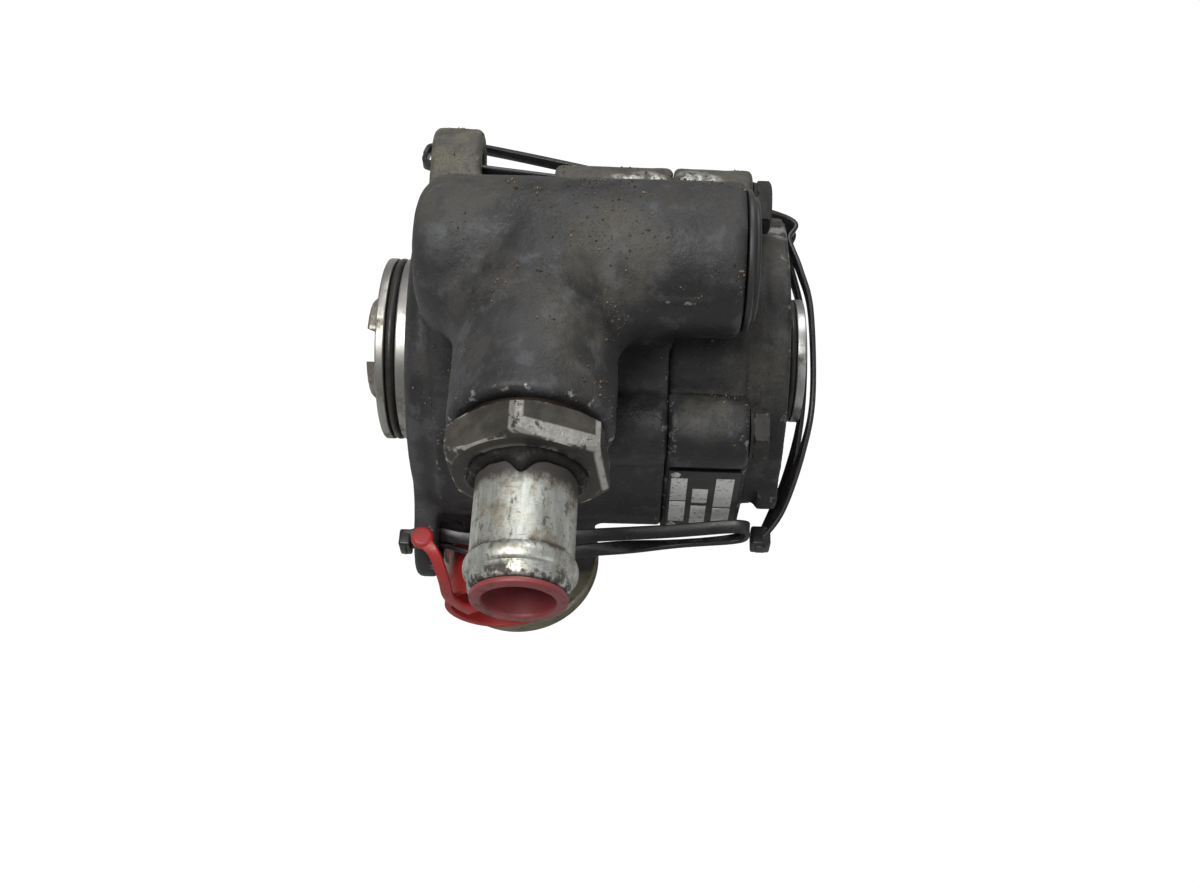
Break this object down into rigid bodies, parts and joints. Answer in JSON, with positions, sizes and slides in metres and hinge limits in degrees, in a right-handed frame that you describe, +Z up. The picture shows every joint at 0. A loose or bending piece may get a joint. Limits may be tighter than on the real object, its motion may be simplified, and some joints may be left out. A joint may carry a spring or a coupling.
{
  "type": "hydraulic vane pump",
  "caption": "Hydraulic vane pump with a mounting flange, a tandem drive at the rear, a side suction stub and plugged ports.",
  "frame": {"origin": "centre of the bounding box's underside", "axes": "+X along the shaft from the drive flange to the rear tandem face, -Y along the suction stub, +Z up"},
  "size_m": [0.1099, 0.1455, 0.1237],
  "materials": {
    "cast_black": "worn matt black paint on rough casting",
    "cover_black": "satin black paint",
    "adapter_dark": "dark paint with bare edges",
    "rubber": "matt",
    "bolt_black": "painted over",
    "steel": "machined",
    "stained_steel": "oil-stained machined",
    "dark_steel": "dark",
    "bronze": "machined",
    "bare_casting": "machined",
    "copper": "dull",
    "stained_zinc": "stained zinc plate",
    "red_plastic": "semi-gloss",
    "olive_metal": "olive passivated",
    "plate_black": "satin",
    "rivet_silver": "bright",
    "nylon_black": "satin nylon"
  },
  "bodies": {
    "pump_body": {"pump_housing": "cast_black", "end_cover": "cover_black", "drive_spigot_o_ring": "rubber", "rear_spigot_o_ring": "rubber", "cover_o_ring": "rubber", "valve_cap_o_ring": "rubber", "shaft_seal": "rubber", "cover_bolt_1": "bolt_black", "cover_bolt_2": "bolt_black", "cover_bolt_3": "bolt_black", "cover_bolt_4": "bolt_black", "bearing_outer_race": "steel", "bearing_circlip": "dark_steel", "rear_bush": "bronze", "front_plate": "bare_casting", "rear_plate": "bare_casting", "cam_ring": "steel", "dowel_pin_1": "steel", "dowel_pin_2": "steel", "valve_cap": "cover_black", "adapter_seal_ring": "copper", "suction_adapter": "adapter_dark", "suction_stub": "stained_zinc", "port_block_disc": "olive_metal", "disc_screw": "bolt_black", "nameplate": "plate_black", "nameplate_rivet_1": "rivet_silver", "nameplate_rivet_2": "rivet_silver", "cable_tie_long": "nylon_black", "cable_tie_short": "nylon_black", "valve_spring": "steel"},
    "drive_shaft": {"shaft": "steel", "drive_dog": "stained_steel", "rear_dog": "dark_steel", "bearing_inner_race": "steel", "rotor": "steel", "rotor_circlip": "dark_steel"},
    "bearing_cage": {"bearing_ball_cage": "bronze"},
    "vane_01": {"vane_01": "dark_steel"},
    "vane_02": {"vane_02": "dark_steel"},
    "vane_03": {"vane_03": "dark_steel"},
    "vane_04": {"vane_04": "dark_steel"},
    "vane_05": {"vane_05": "dark_steel"},
    "vane_06": {"vane_06": "dark_steel"},
    "vane_07": {"vane_07": "dark_steel"},
    "vane_08": {"vane_08": "dark_steel"},
    "vane_09": {"vane_09": "dark_steel"},
    "vane_10": {"vane_10": "dark_steel"},
    "flow_spool": {"valve_spool": "steel", "relief_seat_screw": "steel", "relief_spring": "steel"},
    "poppet": {"relief_poppet": "steel"},
    "suction_plug": {"suction_transport_plug": "red_plastic"},
    "port_plug": {"pressure_port_cap": "red_plastic", "cap_tether": "red_plastic"}
  },
  "joints": [
    {"name": "shaft_spin", "type": "hinge", "parent": "pump_body", "child": "drive_shaft", "pos_m": [0, 0.0185, 0.0523], "axis": [1, 0, 0], "continuous": true},
    {"name": "cage_spin", "type": "hinge", "parent": "pump_body", "child": "bearing_cage", "pos_m": [0, 0.0185, 0.0523], "axis": [1, 0, 0], "continuous": true},
    {"name": "vane_01_slide", "type": "slide", "parent": "drive_shaft", "child": "vane_01", "axis": [0, 0.9511, 0.309], "range_m": [0, 0.001]},
    {"name": "vane_02_slide", "type": "slide", "parent": "drive_shaft", "child": "vane_02", "axis": [0, 0.5878, 0.809], "range_m": [0, 0.001]},
    {"name": "vane_03_slide", "type": "slide", "parent": "drive_shaft", "child": "vane_03", "axis": [0, 0, 1], "range_m": [0, 0.001]},
    {"name": "vane_04_slide", "type": "slide", "parent": "drive_shaft", "child": "vane_04", "axis": [0, -0.5878, 0.809], "range_m": [0, 0.001]},
    {"name": "vane_05_slide", "type": "slide", "parent": "drive_shaft", "child": "vane_05", "axis": [0, -0.9511, 0.309], "range_m": [0, 0.001]},
    {"name": "vane_06_slide", "type": "slide", "parent": "drive_shaft", "child": "vane_06", "axis": [0, -0.9511, -0.309], "range_m": [0, 0.001]},
    {"name": "vane_07_slide", "type": "slide", "parent": "drive_shaft", "child": "vane_07", "axis": [0, -0.5878, -0.809], "range_m": [0, 0.001]},
    {"name": "vane_08_slide", "type": "slide", "parent": "drive_shaft", "child": "vane_08", "axis": [0, 0, -1], "range_m": [0, 0.001]},
    {"name": "vane_09_slide", "type": "slide", "parent": "drive_shaft", "child": "vane_09", "axis": [0, 0.5878, -0.809], "range_m": [0, 0.001]},
    {"name": "vane_10_slide", "type": "slide", "parent": "drive_shaft", "child": "vane_10", "axis": [0, 0.9511, -0.309], "range_m": [0, 0.001]},
    {"name": "spool_slide", "type": "slide", "parent": "pump_body", "child": "flow_spool", "axis": [-1, 0, 0], "range_m": [0, 0.005], "stiffness_N_per_m": 3000, "springref_m": -0.0015, "deforming": ["valve_spring"]},
    {"name": "relief_slide", "type": "slide", "parent": "flow_spool", "child": "poppet", "axis": [1, 0, 0], "range_m": [0, 0.0008], "stiffness_N_per_m": 2000, "springref_m": -0.0004, "deforming": ["relief_spring"]},
    {"name": "suction_plug_pull", "type": "slide", "parent": "pump_body", "child": "suction_plug", "axis": [0, -1, 0], "range_m": [0, 0.018]},
    {"name": "port_plug_pull", "type": "slide", "parent": "pump_body", "child": "port_plug", "axis": [0, -1, 0], "range_m": [0, 0.015]}
  ],
  "couplings": [
    {"joint": "cage_spin", "follows": "shaft_spin", "ratio": 0.39}
  ]
}
